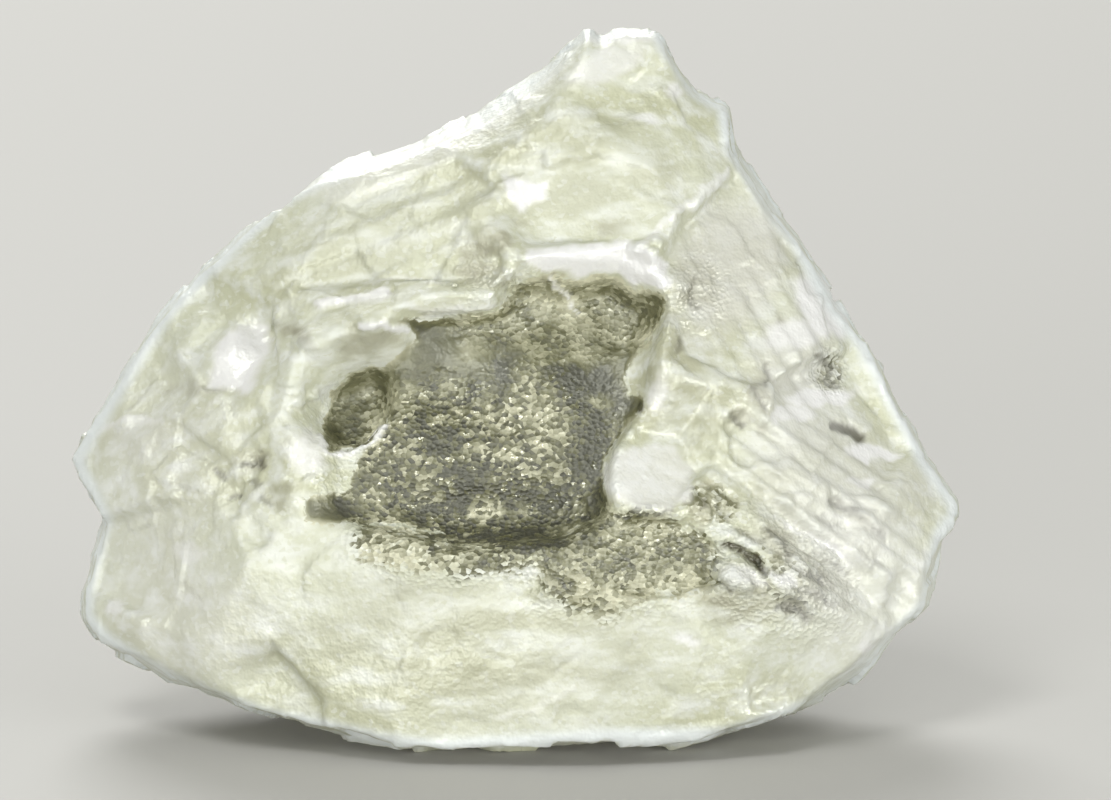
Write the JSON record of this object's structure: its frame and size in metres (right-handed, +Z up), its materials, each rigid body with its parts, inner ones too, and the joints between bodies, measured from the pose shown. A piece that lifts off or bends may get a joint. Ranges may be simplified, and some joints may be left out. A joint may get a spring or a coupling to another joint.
{
  "type": "rough diamond",
  "caption": "Uncut frosted crystal, pointed at the top and broad below, with a sunken dark window in its face, broken terraces and a small flat to stand on.",
  "frame": {"origin": "on the small flat that the stone rests on, near its middle", "axes": "+X to the right of the face with the window, the stone's longest way; the face looks towards -Y and leans back 12 degrees; +Z up to the peak"},
  "size_m": [0.018, 0.0098, 0.0138],
  "materials": {
    "frosted_diamond": "frosted, cream, with a greyish brown window"
  },
  "bodies": {
    "root": {"rough_diamond": "frosted_diamond"}
  },
  "joints": []
}
